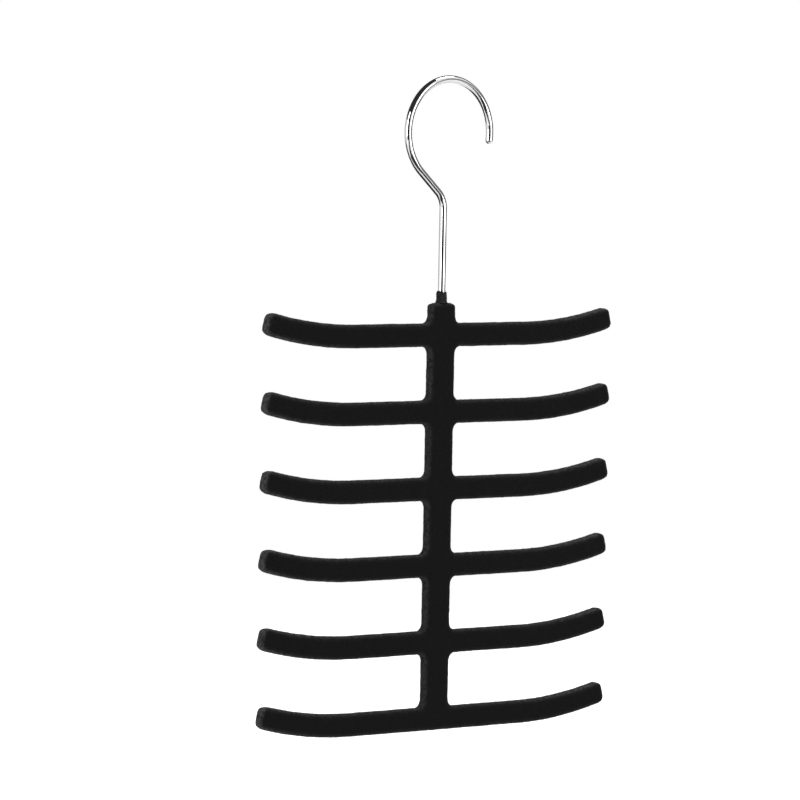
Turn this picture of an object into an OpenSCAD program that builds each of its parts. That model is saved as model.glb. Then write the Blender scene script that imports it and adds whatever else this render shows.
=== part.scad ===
/* [Moulded frame] */
// Thickness of the moulded plate, front to back
plate_t = 4.8; // [4.6:0.1:6.4]
// Radius that rounds every outer edge of the plate
edge_r = 1.8; // [0.8:0.1:2]
// Number of crossbars
rows = 6; // [2:1:8]
// Distance from one crossbar to the next
row_pitch = 36.6; // [32:0.1:48]
// Height of a crossbar's moulding
bar_h = 10.4; // [9:0.1:13]
// Height of an arm's moulding at its tip
tip_h = 10.2; // [9:0.1:10.8]
// Reach of an arm from the stem's axis to its tip
arm_reach = 106.3; // [90:0.5:130]
// Straight half-length of a crossbar, before it turns up
straight_half = 52; // [30:1:60]
// Angle that an arm has turned up by at its tip
upturn_deg = 14.2; // [8:0.2:20]
// Corner radius of an arm's tip
tip_r = 4.2; // [2.2:0.1:4.4]
// Width of the spine
spine_w = 14.4; // [11:0.1:18]
// Fillet between the spine and a crossbar
fillet_r = 3.9; // [2.5:0.1:6]
// Height of the spine's top above the first crossbar
shoulder_rise = 9.65; // [8:0.05:16]
// Corner radius of the spine's top
shoulder_r = 3.2; // [2.2:0.1:4]

/* [Flock] */
// Pile height of the flock coat, with its adhesive
flock_t = 0.4; // [0.3:0.05:0.6]
// Hairline of adhesive between the moulding and the coat
glue_line = 0.02; // [0.01:0.01:0.05]
// Height of the cuff that crept up the wire in flocking
cuff_h = 4.8; // [3:0.1:10]
// Wall of the cuff at its foot
cuff_wall = 0.5; // [0.3:0.05:0.7]
// Wall of the cuff at its lip
cuff_lip = 0.4; // [0.2:0.05:0.6]
// Open line between the coat and the cuff, where the hook turns
cuff_gap = 0.2; // [0.1:0.05:0.4]

/* [Hook] */
// Diameter of the hook's wire
wire_d = 3.6; // [3:0.1:3.8]
// Radius of the hook's arc, to the middle of the wire
hook_r = 25.2; // [20:0.1:30]
// Sideways offset of the hook's arc from the stem's axis
hook_offset = 2.8; // [0:0.1:5]
// Angle by which the free end passes the hook's widest point
free_end_deg = 8; // [0:1:30]
// Angle of the straight run that leads from the arc to the stem
slant_deg = 42; // [35:1:60]
// Radius of the bend at the stem's top
neck_bend_r = 10.5; // [6:0.5:14]
// Height of the hook's arc centre above the coated shoulder
hook_rise = 80.8; // [70:0.1:110]

/* [Swivel] */
// Length of wire held in the moulding
shank_len = 22; // [18:0.5:28]
// Width of the groove rolled into the wire's end
groove_w = 2.4; // [1.6:0.1:3]
// Depth of the groove
groove_depth = 0.5; // [0.3:0.05:0.7]
// Length of wire below the groove
groove_foot = 3; // [2:0.1:5]
// Bevel of the wire's cut end
end_bevel = 0.5; // [0.2:0.1:0.8]
// Radial clearance between the wire and the moulding
swivel_gap = 0.05; // [0.02:0.01:0.09]
// Clearance along the axis at the groove and below the wire's end
axial_gap = 0.3; // [0.2:0.05:0.4]

/* [Hidden] */
$fn = 64;
wire_r = wire_d / 2;
spine_half = spine_w / 2;
joint_x = spine_half + fillet_r;
lower_r = (arm_reach - tip_r - straight_half) / sin(upturn_deg) + tip_r;
tip_run = (lower_r - tip_h) * sin(upturn_deg);
tip_climb = lower_r - (lower_r - tip_h) * cos(upturn_deg) - bar_h;
upper_r = (tip_run * tip_run + tip_climb * tip_climb) / (2 * tip_climb);
tip_over_deg = asin(2 * tip_r / lower_r);
arc_centre_z = -(hook_r - wire_r);
shoulder_z = arc_centre_z - hook_rise;
plate_top_z = shoulder_z - flock_t;
groove_r = wire_r - groove_depth;
// How far an end's rounding stands past the faces, so that it crosses them
crossing = edge_r / 90;
// How much the hook's straight run is drawn thinner than its bends, and its lap in them
seam = wire_d / 360;
lap = wire_d / 18;
slant_len = (hook_r * sin(slant_deg) - hook_offset - neck_bend_r * (1 - sin(slant_deg)))
  / cos(slant_deg);
neck_x = -hook_offset - neck_bend_r;
neck_z = arc_centre_z - (hook_r + neck_bend_r) * cos(slant_deg) - slant_len * sin(slant_deg);

// Section of a strip that is rounded along both edges, w wide and t thick
module strip_profile(w, t, r) {
  square([w - 2 * r, t], center = true);
  square([w, t - 2 * r], center = true);
  for (u = [-1, 1], v = [-1, 1])
    translate([u * (w / 2 - r), v * (t / 2 - r)])
      circle(r);
}

// Section of a plate that ends in a rounded edge at x = 0, and starts at x = -len
module edge_profile(len, t, r) {
  translate([-len, -t / 2])
    square([len - r, t]);
  translate([-len, r - t / 2])
    square([len, t - 2 * r]);
  for (v = [-1, 1])
    translate([-r, v * (t / 2 - r)])
      circle(r);
}

// The plate's own sections, grown by g over the bare moulding
module plate_strip(w, g) {
  strip_profile(w + 2 * g, plate_t + 2 * g, edge_r + g);
}

module plate_edge(len, g) {
  translate([g, 0])
    edge_profile(len + g, plate_t + 2 * g, edge_r + g);
}

// Runs a section along +X: the section's x becomes height, its y thickness
module run_x(len) {
  rotate([90, 0, 90])
    linear_extrude(len)
      children();
}

// Runs a section along +Y: the section's x stays along X
module run_y(len) {
  rotate([-90, 0, 0])
    linear_extrude(len)
      children();
}

// Rounds the end of a strip that runs along +Y and stops at y = 0: it keeps what lies
// inside the outline's corners and inside the rounded end edge, back to y = -back
module end_rounding(w, r, back, g) {
  reach = g + crossing;
  translate([0, 0, -plate_t])
    linear_extrude(2 * plate_t) {
      translate([-back, -back])
        square([2 * back, back - r]);
      translate([r - w / 2, -back])
        square([w - 2 * r, back + reach]);
      for (u = [-1, 1])
        translate([u * (w / 2 - r), -r])
          circle(r + reach);
    }
}

module end_edge(back, g) {
  translate([-back, 0, 0])
    run_x(2 * back)
      translate([g, 0])
        edge_profile(back + g, plate_t + 2 * g + 2 * crossing, edge_r + g);
}

// The upturned part of an arm, between its lower and its upper arc, with its tip rounded
module upturn(g) {
  depth = 2 * bar_h;
  sweep_deg = upturn_deg + tip_over_deg;
  intersection() {
    translate([0, lower_r, 0])
      rotate([0, 0, -90])
        rotate_extrude(angle = sweep_deg)
          translate([lower_r, 0])
            plate_edge(depth, g);
    translate([0, bar_h + upper_r, 0])
      rotate([0, 0, -90])
        rotate_extrude(angle = sweep_deg)
          translate([upper_r, 0])
            mirror([1, 0])
              plate_edge(depth, g);
    translate([0, lower_r, 0])
      rotate([0, 0, upturn_deg - 90])
        translate([lower_r - tip_h / 2, tip_r, 0])
          end_rounding(tip_h, tip_r, arm_reach, g);
    translate([0, lower_r, 0])
      rotate([0, 0, upturn_deg - 90])
        translate([lower_r - tip_h / 2, tip_r, 0])
          end_edge(arm_reach, g);
  }
}

// One arm beyond the fillets: the straight run and the upturned part
module arm(g) {
  translate([joint_x, bar_h / 2, 0])
    run_x(straight_half - joint_x)
      plate_strip(bar_h, g);
  translate([straight_half, 0, 0])
    upturn(g);
}

// The fillet between a bar's edge and the spine's, as a square cell at their corner
module fillet_cell(g) {
  cell = fillet_r + edge_r;
  intersection() {
    rotate([0, 0, 180])
      rotate_extrude(angle = 90)
        translate([fillet_r, 0])
          mirror([1, 0])
            plate_edge(2 * cell, g);
    translate([-cell, -cell, -plate_t])
      cube([2 * cell, 2 * cell, 2 * plate_t]);
  }
}

// The flat middle of a crossing: the bar's part from y = low up, the spine's from y = foot
module flat_middle(low, foot, g) {
  translate([0, 0, -plate_t / 2 - g])
    linear_extrude(plate_t + 2 * g) {
      translate([-joint_x, low])
        square([2 * joint_x, bar_h - edge_r - low]);
      translate([edge_r - spine_half, foot])
        square([spine_w - 2 * edge_r, bar_h + fillet_r - foot]);
    }
}

// Half of a bar's section, run along +X from x = -len to len, with its edge rounded
module half_bar(len, g) {
  translate([-len, 0, 0])
    run_x(2 * len)
      plate_edge(bar_h / 2, g);
}

// The bottom crossbar, whose lower half runs straight across below the spine
module bottom_bar(g) {
  translate([0, bar_h / 2, 0]) {
    rotate([0, 0, 180])
      translate([0, bar_h / 2, 0])
        half_bar(straight_half, g);
    for (side = [-1, 1])
      translate([side * (joint_x + straight_half) / 2, bar_h / 2, 0])
        half_bar((straight_half - joint_x) / 2, g);
  }
  for (side = [0, 1])
    mirror([side, 0, 0])
      translate([straight_half, 0, 0])
        upturn(g);
}

// The spine's top above the first crossbar, with its corners and end edge rounded
module shoulder(g) {
  back = shoulder_rise;
  intersection() {
    translate([0, fillet_r - shoulder_rise, 0])
      run_y(shoulder_rise - fillet_r + 2 * shoulder_r)
        plate_strip(spine_w, g);
    end_rounding(spine_w, shoulder_r, back, g);
    end_edge(back, g);
  }
}

// The whole plate, upright on the stem's axis with the bare moulding's top at z = 0,
// grown by g all round
module plate(g) {
  last_y = (1 - rows) * row_pitch;
  translate([0, 0, -shoulder_rise - bar_h])
    rotate([90, 0, 0]) {
      for (row = [0 : rows - 2], side = [0, 1])
        translate([0, -row * row_pitch, 0])
          mirror([side, 0, 0])
            arm(g);
      translate([0, last_y, 0])
        bottom_bar(g);
      for (row = [0 : rows - 1])
        translate([0, -row * row_pitch, 0])
          if (row < rows - 1)
            flat_middle(edge_r, -fillet_r, g);
          else
            flat_middle(bar_h / 2, bar_h / 2, g);
      for (row = [0 : rows - 1], side = [0, 1])
        translate([0, bar_h + fillet_r - row * row_pitch, 0])
          mirror([side, 0, 0])
            translate([joint_x, 0, 0])
              fillet_cell(g);
      for (row = [0 : rows - 2], side = [0, 1])
        translate([0, -fillet_r - row * row_pitch, 0])
          mirror([side, 0, 0])
            translate([joint_x, 0, 0])
              mirror([0, 1, 0])
                fillet_cell(g);
      for (row = [1 : rows - 1])
        translate([0, bar_h + fillet_r - row * row_pitch, 0])
          run_y(row_pitch - bar_h - 2 * fillet_r)
            plate_strip(spine_w, g);
      translate([0, bar_h + shoulder_rise, 0])
        shoulder(g);
    }
}

// Turned outline of the wire's held end, or with gaps, of the bore that it turns in. It
// starts at the bare moulding's top, z = 0, and rises to top_z
module shank(gap, end_gap, top_z) {
  r = wire_r + gap;
  neck_r = groove_r + gap;
  foot_z = -shank_len - end_gap;
  low_z = groove_foot - shank_len + end_gap;
  high_z = groove_foot - shank_len + groove_w - end_gap;
  rotate_extrude()
    polygon([
      [0, foot_z],
      [r - end_bevel, foot_z],
      [r, foot_z + end_bevel],
      [r, low_z],
      [neck_r, low_z + groove_depth],
      [neck_r, high_z - groove_depth],
      [r, high_z],
      [r, top_z],
      [0, top_z]
    ]);
}

// Hangs what is drawn from the bare moulding's top in its place below the hook
module on_stem() {
  translate([-hook_offset, 0, plate_top_z])
    children();
}

module moulded_frame() {
  color("dimgray")
    on_stem()
      difference() {
        plate(0);
        shank(swivel_gap, axial_gap, flock_t);
      }
}

module flock_coat() {
  color("black")
    on_stem()
      difference() {
        plate(flock_t);
        plate(glue_line);
        translate([0, 0, -flock_t])
          cylinder(r = wire_r + swivel_gap, h = 3 * flock_t);
      }
}

// The hook's arc about the rail, from the domed free end to the slanted run
module hook_arc() {
  rotate([0, 0, -free_end_deg]) {
    rotate_extrude(angle = 270 - slant_deg + free_end_deg)
      translate([hook_r, 0])
        circle(wire_r);
    translate([hook_r, 0, 0])
      rotate([90, 0, 0])
        rotate_extrude()
          intersection() {
            circle(wire_r);
            square(wire_r);
          }
  }
}

module swivel_hook() {
  color("silver") {
    translate([0, 0, arc_centre_z])
      rotate([90, 0, 0]) {
        hook_arc();
        rotate([0, 0, -slant_deg])
          translate([-lap, -hook_r, 0])
            rotate([0, 90, 0])
              cylinder(r = wire_r - seam, h = slant_len + 2 * lap);
      }
    translate([neck_x, 0, neck_z])
      rotate([90, 0, 0])
        rotate_extrude(angle = 90 - slant_deg)
          translate([neck_bend_r, 0])
            circle(wire_r);
    on_stem()
      shank(0, 0, neck_z - plate_top_z);
  }
}

module neck_cuff() {
  color("black")
    on_stem()
      translate([0, 0, flock_t + cuff_gap])
        difference() {
          cylinder(r1 = wire_r + cuff_wall, r2 = wire_r + cuff_lip, h = cuff_h);
          translate([0, 0, -lap])
            cylinder(r = wire_r, h = cuff_h + 2 * lap);
        }
}

moulded_frame();
flock_coat();
swivel_hook();
neck_cuff();
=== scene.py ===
import math

import bmesh
import bpy
import numpy as np
from mathutils import Matrix, Vector


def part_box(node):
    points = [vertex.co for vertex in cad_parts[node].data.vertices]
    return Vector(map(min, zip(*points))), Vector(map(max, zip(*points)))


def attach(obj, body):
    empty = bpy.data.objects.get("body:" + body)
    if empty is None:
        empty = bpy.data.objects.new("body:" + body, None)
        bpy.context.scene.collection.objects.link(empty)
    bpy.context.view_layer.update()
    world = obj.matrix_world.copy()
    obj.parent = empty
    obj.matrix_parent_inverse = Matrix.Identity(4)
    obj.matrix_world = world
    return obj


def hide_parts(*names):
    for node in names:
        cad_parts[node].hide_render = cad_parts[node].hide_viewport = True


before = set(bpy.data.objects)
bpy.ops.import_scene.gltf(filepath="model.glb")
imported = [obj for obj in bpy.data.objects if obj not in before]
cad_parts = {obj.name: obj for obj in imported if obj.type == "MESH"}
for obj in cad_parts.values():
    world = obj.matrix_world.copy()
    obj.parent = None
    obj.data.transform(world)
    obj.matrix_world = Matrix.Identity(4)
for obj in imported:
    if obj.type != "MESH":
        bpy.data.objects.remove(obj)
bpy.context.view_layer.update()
scene = bpy.context.scene
scene.view_settings.view_transform = "Standard"

# Camera. A long lens a good two metres off, well to the hanger's left and a little above
# it. The hanger leans a little to one side in the picture. Here it hangs plumb, and the
# camera leans instead.
view_distance = 2.5
view_turn = math.radians(40)
view_drop = math.radians(6.04)
hanger_lean = math.radians(1.47)
focal_pixels = 5250
image_size = 800
sensor_width = 36
aim = Vector((-0.0031, 0, -0.2266))
aim_pixel = (435.9, 559.7)


def new_object(name, data):
    made = bpy.data.objects.new(name, data)
    scene.collection.objects.link(made)
    return made


def plumb(v):
    c, s = math.cos(hanger_lean), math.sin(hanger_lean)
    return Vector((v.x * c - v.z * s, v.y, v.x * s + v.z * c))


forward = Vector((
    math.sin(view_turn) * math.cos(view_drop),
    math.cos(view_turn) * math.cos(view_drop),
    -math.sin(view_drop),
))
right = Vector((math.cos(view_turn), -math.sin(view_turn), 0))
up = right.cross(forward)
forward, right, up = plumb(forward), plumb(right), plumb(up)
eye = aim - forward * view_distance
look = (
    forward
    + right * (image_size / 2 - aim_pixel[0]) / focal_pixels
    + up * (aim_pixel[1] - image_size / 2) / focal_pixels
).normalized()
up = (up - look * up.dot(look)).normalized()
side = look.cross(up)
camera_data = bpy.data.cameras.new("camera")
camera_data.sensor_width = sensor_width
camera_data.lens = sensor_width * focal_pixels / image_size
camera_data.clip_start = 0.1
camera_data.clip_end = 60
camera = new_object("camera", camera_data)
camera.matrix_world = Matrix((
    (side.x, up.x, -look.x, eye.x),
    (side.y, up.y, -look.y, eye.y),
    (side.z, up.z, -look.z, eye.z),
    (0, 0, 0, 1),
))
scene.camera = camera

# Studio. A pale floor below the hanger, a white surround and soft lamps. Mirrored rays
# alone meet dark patches on the floor and dark bands in the world, a painted reflection
# that gives the polished wire its dark lines, like the black cards round a product
# photographer; camera and diffuse rays see only the white.
floor_z = -0.46
paper_half = 1.6
white = (1, 1, 1, 1)
paper_white = (0.86, 0.86, 0.86, 1)
paper_glow = 0.62
# Painted reflection: the black of floor patches that only mirrored rays see.
reflection_card_black = (0.015, 0.015, 0.015, 1)
level = Vector((look.x, look.y, 0)).normalized()
leftwards = Vector((-level.y, level.x, 0))


def node(tree, kind, inputs=None, **settings):
    made = tree.nodes.new(kind)
    for name, value in settings.items():
        setattr(made, name, value)
    for name, value in (inputs or {}).items():
        made.inputs[name].default_value = value
    return made


def join(tree, *pairs):
    for source, target in pairs:
        tree.links.new(source, target)


def fold(tree, operation, values):
    result = values[0]
    for value in values[1:]:
        step = node(tree, "ShaderNodeMath", operation=operation)
        join(tree, (result, step.inputs[0]), (value, step.inputs[1]))
        result = step.outputs[0]
    return result


floor_material = bpy.data.materials.new("pale floor")
floor_material.use_nodes = True
tree = floor_material.node_tree
paper = tree.nodes["Principled BSDF"]
paper.inputs["Roughness"].default_value = 0.9
paper.inputs["Emission Color"].default_value = white
light_path = node(tree, "ShaderNodeLightPath")
glow = node(tree, "ShaderNodeMath", {1: paper_glow}, operation="MULTIPLY")
spot = node(tree, "ShaderNodeTexCoord")
beyond = node(tree, "ShaderNodeVectorMath", {1: level}, operation="DOT_PRODUCT")
leftward = node(tree, "ShaderNodeVectorMath", {1: leftwards}, operation="DOT_PRODUCT")
# Painted reflection: these dark floor patches are seen by mirrored rays only, never by
# the camera or by diffuse light.
far_left = ((beyond, -0.1, 1.2), (leftward, 0.05, 1.6))
near_right = ((beyond, -0.9, -0.28), (leftward, -1.5, 0.3))
near_middle = ((beyond, -1.8, -0.28), (leftward, -0.3, 0.35))
reflection_cards = []
for reflection_card in (far_left, near_right, near_middle):
    tests = []
    for measure, near, far in reflection_card:
        for limit, kind in ((near, "GREATER_THAN"), (far, "LESS_THAN")):
            test = node(tree, "ShaderNodeMath", {1: limit}, operation=kind)
            join(tree, (measure.outputs["Value"], test.inputs[0]))
            tests.append(test.outputs[0])
    reflection_cards.append(fold(tree, "MULTIPLY", tests))
on_reflection_card = fold(tree, "MAXIMUM", reflection_cards)
dark = fold(tree, "MULTIPLY", [on_reflection_card, light_path.outputs["Is Glossy Ray"]])
tone = node(tree, "ShaderNodeMix", data_type="RGBA")
tone.inputs["A"].default_value = paper_white
tone.inputs["B"].default_value = reflection_card_black
join(
    tree,
    (spot.outputs["Object"], beyond.inputs[0]),
    (spot.outputs["Object"], leftward.inputs[0]),
    (light_path.outputs["Is Camera Ray"], glow.inputs[0]),
    (glow.outputs[0], paper.inputs["Emission Strength"]),
    (dark, tone.inputs["Factor"]),
    (tone.outputs["Result"], paper.inputs["Base Color"]),
)
floor_mesh = bpy.data.meshes.new("floor")
corners = ((-1, -1), (1, -1), (1, 1), (-1, 1))
floor_mesh.from_pydata(
    [(x * paper_half, y * paper_half, floor_z) for x, y in corners], [], [(0, 1, 2, 3)]
)
floor_mesh.materials.append(floor_material)
floor = new_object("floor", floor_mesh)

# World: white for the camera, an even ambient for diffuse light, and for mirrored rays
# alone a painted reflection of dark bands, dim walls and a dark ceiling that nothing else
# sees.
world = bpy.data.worlds.new("studio")
scene.world = world
world.use_nodes = True
tree = world.node_tree
tree.nodes.clear()
light_path = node(tree, "ShaderNodeLightPath")
direction = node(tree, "ShaderNodeTexCoord")
away = node(tree, "ShaderNodeVectorMath", {1: level}, operation="DOT_PRODUCT")
sideways = node(tree, "ShaderNodeVectorMath", {1: leftwards}, operation="DOT_PRODUCT")
height = node(tree, "ShaderNodeSeparateXYZ")
spread = node(tree, "ShaderNodeMapRange", {"From Min": -1.0, "From Max": 1.0})


def reflection_bands(tree, stops):
    made = node(tree, "ShaderNodeValToRGB")
    bands = made.color_ramp.elements
    bands[0].position, bands[0].color = 0.045, (0.01, 0.01, 0.011, 1)
    bands[1].position, bands[1].color = 0.075, white
    for position, grey in stops:
        bands.new(position).color = (grey, grey, grey, 1)
    return made


# Painted reflection: these bands are seen by mirrored rays only.
left_reflection_bands = reflection_bands(tree, ((0.68, 1.0), (0.73, 0.1), (0.88, 0.1), (0.95, 0.9)))
right_reflection_bands = reflection_bands(tree, ((0.36, 1.0), (0.42, 0.16), (0.86, 0.16), (0.95, 0.9)))
aloft = node(tree, "ShaderNodeMapRange", {"From Min": 0.25, "From Max": 0.36})
low_down = node(tree, "ShaderNodeMath", {0: 1.0}, operation="SUBTRACT")
to_right = node(tree, "ShaderNodeMath", {1: 0.0}, operation="LESS_THAN")
low_right = node(tree, "ShaderNodeMath", operation="MULTIPLY")
reflection_band_tone = node(tree, "ShaderNodeMix", data_type="RGBA")
to_left = node(tree, "ShaderNodeMapRange", {"From Min": -0.7, "From Max": -0.5})
reflected_ceiling = node(tree, "ShaderNodeMath", operation="MULTIPLY")
reflected_room = node(tree, "ShaderNodeMix", data_type="RGBA")
reflected_room.inputs["B"].default_value = (0.03, 0.03, 0.032, 1)
seen = node(tree, "ShaderNodeBackground", {"Color": white, "Strength": 1.0})
mirrored = node(tree, "ShaderNodeBackground", {"Strength": 1.0})
ambient = node(tree, "ShaderNodeBackground", {"Color": white, "Strength": 0.75})
by_gloss = node(tree, "ShaderNodeMixShader")
by_camera = node(tree, "ShaderNodeMixShader")
out = node(tree, "ShaderNodeOutputWorld")
join(
    tree,
    (direction.outputs["Generated"], away.inputs[0]),
    (away.outputs["Value"], spread.inputs["Value"]),
    (spread.outputs["Result"], left_reflection_bands.inputs["Fac"]),
    (spread.outputs["Result"], right_reflection_bands.inputs["Fac"]),
    (direction.outputs["Generated"], sideways.inputs[0]),
    (direction.outputs["Generated"], height.inputs[0]),
    (height.outputs["Z"], aloft.inputs["Value"]),
    (aloft.outputs["Result"], low_down.inputs[1]),
    (sideways.outputs["Value"], to_right.inputs[0]),
    (low_down.outputs[0], low_right.inputs[0]),
    (to_right.outputs[0], low_right.inputs[1]),
    (low_right.outputs[0], reflection_band_tone.inputs["Factor"]),
    (left_reflection_bands.outputs["Color"], reflection_band_tone.inputs["A"]),
    (right_reflection_bands.outputs["Color"], reflection_band_tone.inputs["B"]),
    (sideways.outputs["Value"], to_left.inputs["Value"]),
    (aloft.outputs["Result"], reflected_ceiling.inputs[0]),
    (to_left.outputs["Result"], reflected_ceiling.inputs[1]),
    (reflected_ceiling.outputs[0], reflected_room.inputs["Factor"]),
    (reflection_band_tone.outputs["Result"], reflected_room.inputs["A"]),
    (reflected_room.outputs["Result"], mirrored.inputs["Color"]),
    (light_path.outputs["Is Glossy Ray"], by_gloss.inputs["Fac"]),
    (ambient.outputs[0], by_gloss.inputs[1]),
    (mirrored.outputs[0], by_gloss.inputs[2]),
    (light_path.outputs["Is Camera Ray"], by_camera.inputs["Fac"]),
    (by_gloss.outputs[0], by_camera.inputs[1]),
    (seen.outputs[0], by_camera.inputs[2]),
    (by_camera.outputs[0], out.inputs["Surface"]),
)


def softbox(name, place, width, height, watts):
    lamp = bpy.data.lights.new(name, "AREA")
    lamp.shape = "RECTANGLE"
    lamp.size, lamp.size_y = width, height
    lamp.energy = watts
    holder = new_object(name, lamp)
    holder.location = place
    aim_at = Vector(hanger_middle) - Vector(place)
    holder.rotation_euler = aim_at.to_track_quat("-Z", "Y").to_euler()


hanger_middle = (0, 0, -0.16)
softbox("left softbox", (-1.7, -0.35, 0.35), width=0.5, height=1.3, watts=12)
softbox("right softbox", (0.75, -1.75, 0.2), width=0.45, height=1.2, watts=9)
softbox("top softbox", (0.6, -0.3, 1.05), width=0.3, height=0.6, watts=8)

# Moulded frame. Spine and crossbars are one shot of black ABS. The coat hides all of it
# but the rim of its bore, so it has the dull grain that the glue keys to.
plastic = bpy.data.materials.new("black moulded ABS")
plastic.use_nodes = True
tree = plastic.node_tree
shader = tree.nodes["Principled BSDF"]
shader.inputs["Specular IOR Level"].default_value = 0.4
where = node(tree, "ShaderNodeTexCoord")
grain = node(tree, "ShaderNodeTexNoise", {"Scale": 2600.0, "Detail": 3.0})
flow = node(
    tree, "ShaderNodeTexNoise", {"Scale": 70.0, "Detail": 4.0, "Distortion": 0.6}
)
tint = node(tree, "ShaderNodeValToRGB")
tint.color_ramp.elements[0].color = (0.018, 0.018, 0.019, 1)
tint.color_ramp.elements[1].color = (0.034, 0.034, 0.036, 1)
dull = node(tree, "ShaderNodeMapRange", {"To Min": 0.5, "To Max": 0.68})
relief = node(tree, "ShaderNodeBump", {"Strength": 0.35, "Distance": 0.00005})
join(
    tree,
    (where.outputs["Object"], grain.inputs["Vector"]),
    (where.outputs["Object"], flow.inputs["Vector"]),
    (flow.outputs["Fac"], tint.inputs["Fac"]),
    (tint.outputs["Color"], shader.inputs["Base Color"]),
    (flow.outputs["Fac"], dull.inputs["Value"]),
    (dull.outputs["Result"], shader.inputs["Roughness"]),
    (grain.outputs["Fac"], relief.inputs["Height"]),
    (relief.outputs["Normal"], shader.inputs["Normal"]),
)
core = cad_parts["moulded_frame"]
core.data.materials.clear()
core.data.materials.append(plastic)

# Swivel hook. Drawn steel wire bent round a former, with a domed free end and a rolled
# groove near its held end, then chrome plated. It is swept here along its bend line.
wire_radius = 0.0018
hook_radius = 0.0252
stem_x = -0.0028
free_end = math.radians(8)
slant = math.radians(42)
neck_radius = 0.0105
shoulder_z = -0.1042
coat_pile = 0.0004
held_length = 0.022
groove_foot, groove_width, groove_depth = 0.003, 0.0024, 0.0005
hook_centre_z = wire_radius - hook_radius
slant_length = (
    hook_radius * math.sin(slant) + stem_x - neck_radius * (1 - math.sin(slant))
) / math.cos(slant)
neck_z = (
    hook_centre_z
    - (hook_radius + neck_radius) * math.cos(slant)
    - slant_length * math.sin(slant)
)
wire_end_z = shoulder_z - coat_pile - held_length

dome_steps, arc_steps, run_steps, bend_steps = 6, 150, 19, 24
stem_step = 0.001
line = []
for step in range(dome_steps + 1):
    a = math.radians(90 * step / dome_steps)
    reach = wire_radius * math.cos(a)
    end_x = hook_radius * math.cos(free_end) - reach * math.sin(free_end)
    end_z = -hook_radius * math.sin(free_end) - reach * math.cos(free_end)
    line.append((end_x, hook_centre_z + end_z, max(math.sin(a), 0.02)))
for step in range(1, arc_steps + 1):
    a = -free_end + (1.5 * math.pi - slant + free_end) * step / arc_steps
    line.append(
        (hook_radius * math.cos(a), hook_centre_z + hook_radius * math.sin(a), 1)
    )
run_start = Vector((line[-1][0], line[-1][1]))
run = Vector((math.cos(slant), -math.sin(slant)))
for step in range(1, run_steps):
    p = run_start + run * slant_length * step / run_steps
    line.append((p.x, p.y, 1))
for step in range(bend_steps + 1):
    a = (math.pi / 2 - slant) * (1 - step / bend_steps)
    bend_x = stem_x - neck_radius + neck_radius * math.cos(a)
    line.append((bend_x, neck_z + neck_radius * math.sin(a), 1))
thin = 1 - groove_depth / wire_radius
groove_z = wire_end_z + groove_foot
for z in np.arange(neck_z - stem_step, groove_z + groove_width, -stem_step):
    line.append((stem_x, float(z), 1))
for z, share in (
    (groove_z + groove_width, 1),
    (groove_z + groove_width - groove_depth, thin),
    (groove_z + groove_depth, thin),
    (groove_z, 1),
    (wire_end_z + groove_depth, 1),
    (wire_end_z, thin),
):
    line.append((stem_x, z, share))

line_mesh = bpy.data.meshes.new("bend line")
links = [(i, i + 1) for i in range(len(line) - 1)]
line_mesh.from_pydata([(x, 0, z) for x, z, share in line], links, [])
gauge = line_mesh.attributes.new("thickness", "FLOAT", "POINT")
gauge.data.foreach_set("value", [share for x, z, share in line])
bend_line = new_object("bend line", line_mesh)

chrome = bpy.data.materials.new("polished chrome plate")
chrome.use_nodes = True
tree = chrome.node_tree
shader = tree.nodes["Principled BSDF"]
shader.inputs["Metallic"].default_value = 1
where = node(tree, "ShaderNodeTexCoord")
drawn = node(tree, "ShaderNodeMapping")
drawn.inputs["Scale"].default_value = (1, 1, 0.12)
haze = node(tree, "ShaderNodeTexNoise", {"Scale": 90.0, "Detail": 5.0})
die_marks = node(tree, "ShaderNodeTexNoise", {"Scale": 900.0, "Detail": 2.0})
tint = node(tree, "ShaderNodeValToRGB")
tint.color_ramp.elements[0].color = (0.70, 0.70, 0.71, 1)
tint.color_ramp.elements[1].color = (0.86, 0.86, 0.87, 1)
polish = node(
    tree,
    "ShaderNodeMapRange",
    {"From Min": 0.3, "From Max": 0.75, "To Min": 0.02, "To Max": 0.06},
)
relief = node(tree, "ShaderNodeBump", {"Strength": 0.05, "Distance": 0.00003})
join(
    tree,
    (where.outputs["Object"], drawn.inputs["Vector"]),
    (where.outputs["Object"], haze.inputs["Vector"]),
    (drawn.outputs["Vector"], die_marks.inputs["Vector"]),
    (haze.outputs["Fac"], tint.inputs["Fac"]),
    (tint.outputs["Color"], shader.inputs["Base Color"]),
    (haze.outputs["Fac"], polish.inputs["Value"]),
    (polish.outputs["Result"], shader.inputs["Roughness"]),
    (die_marks.outputs["Fac"], relief.inputs["Height"]),
    (relief.outputs["Normal"], shader.inputs["Normal"]),
)


def node_shape(name, sockets):
    made = bpy.data.node_groups.new(name, "GeometryNodeTree")
    add = made.interface.new_socket
    add("Geometry", in_out="INPUT", socket_type="NodeSocketGeometry")
    add("Geometry", in_out="OUTPUT", socket_type="NodeSocketGeometry")
    ids = {
        label: add(label, in_out="INPUT", socket_type=kind).identifier
        for label, kind in sockets
    }
    return made, ids


def applied(obj):
    bpy.context.view_layer.update()
    graph = bpy.context.evaluated_depsgraph_get()
    mesh = bpy.data.meshes.new_from_object(obj.evaluated_get(graph))
    obj.modifiers.clear()
    return mesh


def settle(obj, made, values, name):
    step = obj.modifiers.new(made.name, "NODES")
    step.node_group = made
    for identifier, value in values.items():
        step[identifier] = value
    return new_object(name, applied(obj))


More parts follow.
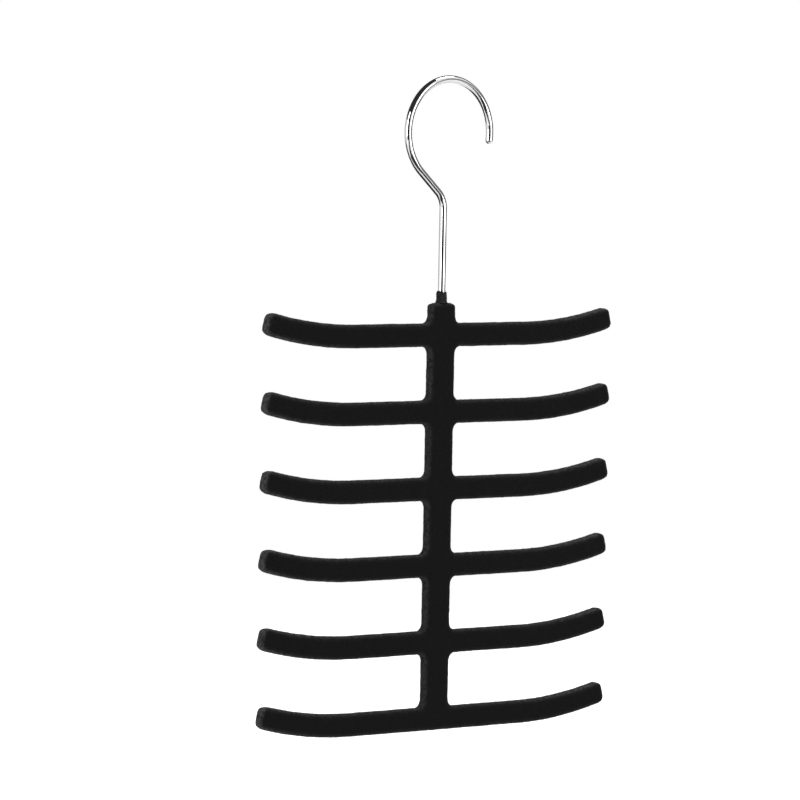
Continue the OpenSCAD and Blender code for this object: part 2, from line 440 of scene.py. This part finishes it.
sweep, wire_ids = node_shape(
    "wire along its bend line",
    (
        ("Wire radius", "NodeSocketFloat"),
        ("Sides", "NodeSocketInt"),
        ("Plate", "NodeSocketMaterial"),
    ),
)
start = node(sweep, "NodeGroupInput")
to_curve = node(sweep, "GeometryNodeMeshToCurve")
thickness = node(sweep, "GeometryNodeInputNamedAttribute", data_type="FLOAT")
thickness.inputs["Name"].default_value = "thickness"
section = node(sweep, "GeometryNodeCurvePrimitiveCircle", mode="RADIUS")
tube = node(sweep, "GeometryNodeCurveToMesh", {"Fill Caps": True})
smooth = node(sweep, "GeometryNodeSetShadeSmooth")
real = node(sweep, "GeometryNodeRealizeInstances")
plated = node(sweep, "GeometryNodeSetMaterial")
end = node(sweep, "NodeGroupOutput")
join(
    sweep,
    (start.outputs["Geometry"], to_curve.inputs[0]),
    (start.outputs["Wire radius"], section.inputs["Radius"]),
    (start.outputs["Sides"], section.inputs["Resolution"]),
    (to_curve.outputs[0], tube.inputs["Curve"]),
    (thickness.outputs["Attribute"], tube.inputs["Scale"]),
    (section.outputs["Curve"], tube.inputs["Profile Curve"]),
    (tube.outputs["Mesh"], smooth.inputs["Geometry"]),
    (smooth.outputs["Geometry"], real.inputs[0]),
    (real.outputs[0], plated.inputs["Geometry"]),
    (start.outputs["Plate"], plated.inputs["Material"]),
    (plated.outputs["Geometry"], end.inputs[0]),
)
wire_values = {
    wire_ids["Wire radius"]: wire_radius,
    wire_ids["Sides"]: 48,
    wire_ids["Plate"]: chrome,
}
hook = settle(bend_line, sweep, wire_values, "hook_wire")
bpy.data.objects.remove(bend_line)
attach(hook, "hook")
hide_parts("swivel_hook")

# Flock coat. The moulding is rolled in adhesive, and short black nylon fibres are shot at
# it and stand on end. The skin takes the coat's own outline with its bore plugged, a
# little uneven where the adhesive ran, and the wire's hole is then drilled clean.
skin_cell = 0.00074
weld_gap = 1e-7
plug_radius = wire_radius + 0.0006
plug_depth, plug_middle = 0.0235, -0.0122
hole_radius = wire_radius + 0.00006
hole_depth, hole_middle = 0.03, -0.0101
pile_black = (0.0036, 0.0036, 0.0038, 1)
# The lighter pile colour is partly worn pile and partly painted sheen, where rounded
# edges and tips catch light.
pile_worn_and_sheen = (0.055, 0.055, 0.057, 1)

flock = bpy.data.materials.new("black nylon flock")
flock.use_nodes = True
tree = flock.node_tree
shader = tree.nodes["Principled BSDF"]
shader.inputs["Roughness"].default_value = 0.95
shader.inputs["Specular IOR Level"].default_value = 0.12
shader.inputs["Sheen Weight"].default_value = 0.05
shader.inputs["Sheen Roughness"].default_value = 0.35
shader.inputs["Sheen Tint"].default_value = (0.8, 0.8, 0.82, 1)
where = node(tree, "ShaderNodeTexCoord")
nap = node(
    tree, "ShaderNodeTexNoise", {"Scale": 620.0, "Detail": 5.0, "Roughness": 0.65}
)
tufts = node(
    tree, "ShaderNodeTexNoise", {"Scale": 1500.0, "Detail": 3.0, "Roughness": 0.7}
)
fibres = node(tree, "ShaderNodeTexVoronoi", {"Scale": 4200.0})
# Painted sheen and wear: the rim attribute mixes the lighter pile colour into rounded
# edges and tips.
edge_wear_and_sheen = node(tree, "ShaderNodeAttribute", attribute_name="rim", attribute_type="GEOMETRY")
clumped = node(
    tree, "ShaderNodeMapRange", {"From Min": 0.36, "From Max": 0.64, "To Min": 0.2}
)
patches = node(tree, "ShaderNodeMath", operation="MULTIPLY")
wear_and_sheen_tone = node(tree, "ShaderNodeMix", data_type="RGBA")
wear_and_sheen_tone.inputs["A"].default_value = pile_black
wear_and_sheen_tone.inputs["B"].default_value = pile_worn_and_sheen
shade = node(
    tree,
    "ShaderNodeMapRange",
    {"From Min": 0.25, "From Max": 0.8, "To Min": 0.75, "To Max": 1.25},
)
lit = node(tree, "ShaderNodeVectorMath", operation="SCALE")
coarse = node(tree, "ShaderNodeBump", {"Strength": 0.7, "Distance": 0.00018})
fine = node(tree, "ShaderNodeBump", {"Strength": 0.8, "Distance": 0.00008})
join(
    tree,
    (where.outputs["Object"], nap.inputs["Vector"]),
    (where.outputs["Object"], tufts.inputs["Vector"]),
    (where.outputs["Object"], fibres.inputs["Vector"]),
    (edge_wear_and_sheen.outputs["Fac"], patches.inputs[0]),
    (nap.outputs["Fac"], clumped.inputs["Value"]),
    (clumped.outputs["Result"], patches.inputs[1]),
    (patches.outputs[0], wear_and_sheen_tone.inputs["Factor"]),
    (tufts.outputs["Fac"], shade.inputs["Value"]),
    (wear_and_sheen_tone.outputs["Result"], lit.inputs[0]),
    (shade.outputs["Result"], lit.inputs["Scale"]),
    (lit.outputs["Vector"], shader.inputs["Base Color"]),
    (tufts.outputs["Fac"], coarse.inputs["Height"]),
    (fibres.outputs["Distance"], fine.inputs["Height"]),
    (coarse.outputs["Normal"], fine.inputs["Normal"]),
    (fine.outputs["Normal"], shader.inputs["Normal"]),
)


def rod(mesh, sides, radius, depth, middle):
    bmesh.ops.create_cone(
        mesh,
        cap_ends=True,
        segments=sides,
        radius1=radius,
        radius2=radius,
        depth=depth,
        matrix=Matrix.Translation((stem_x, 0, shoulder_z + middle)),
    )


def finished_mesh(name, mesh):
    data = bpy.data.meshes.new(name)
    mesh.to_mesh(data)
    mesh.free()
    return data


skin_mesh = bmesh.new()
skin_mesh.from_mesh(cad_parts["flock_coat"].data)
skin_mesh.from_mesh(core.data)
bmesh.ops.remove_doubles(skin_mesh, verts=skin_mesh.verts, dist=weld_gap)
rod(skin_mesh, 32, plug_radius, plug_depth, plug_middle)
coat = new_object("coat_skin", finished_mesh("coat_skin", skin_mesh))
remesh = coat.modifiers.new("skin", "REMESH")
remesh.mode = "VOXEL"
remesh.voxel_size = skin_cell
remesh.use_smooth_shade = True
even = coat.modifiers.new("even", "SMOOTH")
even.factor = 0.5
even.iterations = 3
for name, cloud_size, cloud_depth, lift in (
    ("adhesive", 0.006, 2, 0.00028),
    ("nap", 0.0016, 1, 0.00016),
):
    clouds = bpy.data.textures.new(name, "CLOUDS")
    clouds.noise_scale = cloud_size
    clouds.noise_depth = cloud_depth
    uneven = coat.modifiers.new(name, "DISPLACE")
    uneven.texture = clouds
    uneven.texture_coords = "LOCAL"
    uneven.strength = lift
    uneven.mid_level = 0.5
coat.data = applied(coat)

drill_mesh = bmesh.new()
rod(drill_mesh, 48, hole_radius, hole_depth, hole_middle)
drill = new_object("drill", finished_mesh("drill", drill_mesh))
hole = coat.modifiers.new("hole", "BOOLEAN")
hole.object = drill
hole.operation = "DIFFERENCE"
hole.solver = "EXACT"
coat_mesh = applied(coat)
coat.data = coat_mesh
bpy.data.objects.remove(drill)
coat_mesh.shade_smooth()
points = np.empty(len(coat_mesh.vertices) * 3)
facing = np.empty(len(coat_mesh.vertices) * 3)
coat_mesh.vertices.foreach_get("co", points)
coat_mesh.vertices.foreach_get("normal", facing)
# Rim share is partly wear and partly painted sheen: every edge turned away from the flat
# faces gets it, more towards the tips.
tip_wear_and_sheen_starts, tip_wear_and_sheen_run = 0.06, 0.045
out_along = np.abs(points.reshape(-1, 3)[:, 0] - stem_x)
near_tip = np.clip((out_along - tip_wear_and_sheen_starts) / tip_wear_and_sheen_run, 0, 1)
turned = np.clip(3.0 * (1 - np.abs(facing.reshape(-1, 3)[:, 1])), 0, 1)
rim = turned * (0.5 + 0.5 * near_tip)
rim_share = coat_mesh.attributes.new("rim", "FLOAT", "POINT")
rim_share.data.foreach_set("value", rim.astype(np.float32))
coat_mesh.materials.clear()
coat_mesh.materials.append(flock)
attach(coat, "hanger")
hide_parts("flock_coat")

# Standing pile. Most fibres pack into the velvet face, and the longer strays stand out of
# it and blur the outline. They are scattered over the skin with a fixed seed.
pile, pile_ids = node_shape(
    "pile",
    (
        ("Per square metre", "NodeSocketFloat"),
        ("Length", "NodeSocketFloat"),
        ("Half width", "NodeSocketFloat"),
        ("Seed", "NodeSocketInt"),
        ("Flock", "NodeSocketMaterial"),
    ),
)
start = node(pile, "NodeGroupInput")
roots = node(pile, "GeometryNodeDistributePointsOnFaces", distribute_method="RANDOM")
fibre = node(
    pile,
    "GeometryNodeMeshCone",
    {"Vertices": 3, "Side Segments": 1, "Radius Top": 0.0},
    fill_type="NONE",
)
tilt = node(
    pile,
    "FunctionNodeRandomValue",
    {"Min": (-0.7, -0.7, -3.1), "Max": (0.7, 0.7, 3.1)},
    data_type="FLOAT_VECTOR",
)
turn = node(pile, "FunctionNodeEulerToRotation")
lean = node(pile, "FunctionNodeRotateRotation", rotation_space="LOCAL")
uneven_length = node(
    pile, "FunctionNodeRandomValue", {"Min": 0.55, "Max": 1.25}, data_type="FLOAT"
)
plant = node(pile, "GeometryNodeInstanceOnPoints")
real = node(pile, "GeometryNodeRealizeInstances")
dyed = node(pile, "GeometryNodeSetMaterial")
end = node(pile, "NodeGroupOutput")
join(
    pile,
    (start.outputs["Geometry"], roots.inputs["Mesh"]),
    (start.outputs["Per square metre"], roots.inputs["Density"]),
    (start.outputs["Seed"], roots.inputs["Seed"]),
    (start.outputs["Seed"], tilt.inputs["Seed"]),
    (start.outputs["Seed"], uneven_length.inputs["Seed"]),
    (start.outputs["Length"], fibre.inputs["Depth"]),
    (start.outputs["Half width"], fibre.inputs["Radius Bottom"]),
    (tilt.outputs[0], turn.inputs[0]),
    (roots.outputs["Rotation"], lean.inputs["Rotation"]),
    (turn.outputs[0], lean.inputs["Rotate By"]),
    (roots.outputs["Points"], plant.inputs["Points"]),
    (fibre.outputs["Mesh"], plant.inputs["Instance"]),
    (lean.outputs[0], plant.inputs["Rotation"]),
    (uneven_length.outputs[1], plant.inputs["Scale"]),
    (plant.outputs[0], real.inputs[0]),
    (real.outputs[0], dyed.inputs["Geometry"]),
    (start.outputs["Flock"], dyed.inputs["Material"]),
    (dyed.outputs[0], end.inputs[0]),
)


def standing_pile(on, body, name, per_square_metre, seed):
    values = {
        pile_ids["Per square metre"]: per_square_metre,
        pile_ids["Length"]: 0.00042,
        pile_ids["Half width"]: 0.000022,
        pile_ids["Seed"]: seed,
        pile_ids["Flock"]: flock,
    }
    made = settle(on, pile, values, name)
    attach(made, body)


standing_pile(coat, "hanger", "coat_pile", per_square_metre=900000.0, seed=7)

# Neck cuff. Adhesive crept up the wire from the coat and caught flock as well. It parted
# from the coat when the hook was first turned, and its lip is ragged. Below it, a thin
# sleeve of adhesive lines the wire a little way into the bore.
low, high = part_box("neck_cuff")
cuff_sides = 96
cuff_foot_z = shoulder_z - 0.0001
cuff_rise = high.z - low.z + 0.0005
lip_rag = 0.00042
cuff_wobble = 0.00006
# Even share of the lighter pile colour on the cuff: partly wear, partly painted sheen.
cuff_rim = 0.35
sleeve_inner, sleeve_outer = 0.00001, 0.00004
dice = np.random.default_rng(11)
around = np.linspace(0, 2 * math.pi, cuff_sides, endpoint=False)
ragged = sum(
    dice.uniform(0.3, 1) / k * np.cos(k * around + dice.uniform(0, 6.28))
    for k in (1, 2, 3, 5, 7, 11)
)
ragged = lip_rag * ragged / np.abs(ragged).max()
profile = (
    (0.00125, 0.0),
    (0.00105, 0.05),
    (0.00085, 0.13),
    (0.00076, 0.25),
    (0.00072, 0.42),
    (0.00071, 0.6),
    (0.0007, 0.76),
    (0.00066, 0.88),
    (0.00055, 0.96),
    (0.0003, 1.0),
    (sleeve_inner, 1.02),
    (sleeve_inner, 0.5),
    (sleeve_inner, -0.3),
    (sleeve_outer, -0.3),
    (sleeve_outer, -0.01),
)
cuff_mesh = bmesh.new()
rings = []
for proud, share in profile:
    flocked = share > 0 and proud > sleeve_outer
    ring = []
    for a, rag in zip(around, ragged):
        wobble = cuff_wobble * math.sin(3 * a + 9 * share) * flocked
        reach = wire_radius + proud + wobble
        z = cuff_foot_z + share * cuff_rise + rag * max(share, 0) ** 3
        ring.append(
            cuff_mesh.verts.new((stem_x + reach * math.cos(a), reach * math.sin(a), z))
        )
    rings.append(ring)
for lower, upper in zip(rings, rings[1:] + rings[:1]):
    for i in range(cuff_sides):
        k = (i + 1) % cuff_sides
        cuff_mesh.faces.new((lower[i], lower[k], upper[k], upper[i]))
bmesh.ops.recalc_face_normals(cuff_mesh, faces=cuff_mesh.faces)
cuff_data = finished_mesh("cuff_skin", cuff_mesh)
cuff_data.shade_smooth()
cuff_data.materials.append(flock)
# The cuff gets an even share of the lighter pile colour, partly wear and partly painted
# sheen.
cuff_wear_and_sheen = cuff_data.attributes.new("rim", "FLOAT", "POINT")
cuff_wear_and_sheen.data.foreach_set("value", np.full(len(cuff_data.vertices), cuff_rim, np.float32))
cuff = new_object("cuff_skin", cuff_data)
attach(cuff, "hook")
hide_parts("neck_cuff")
standing_pile(cuff, "hook", "cuff_pile", per_square_metre=6000000.0, seed=5)
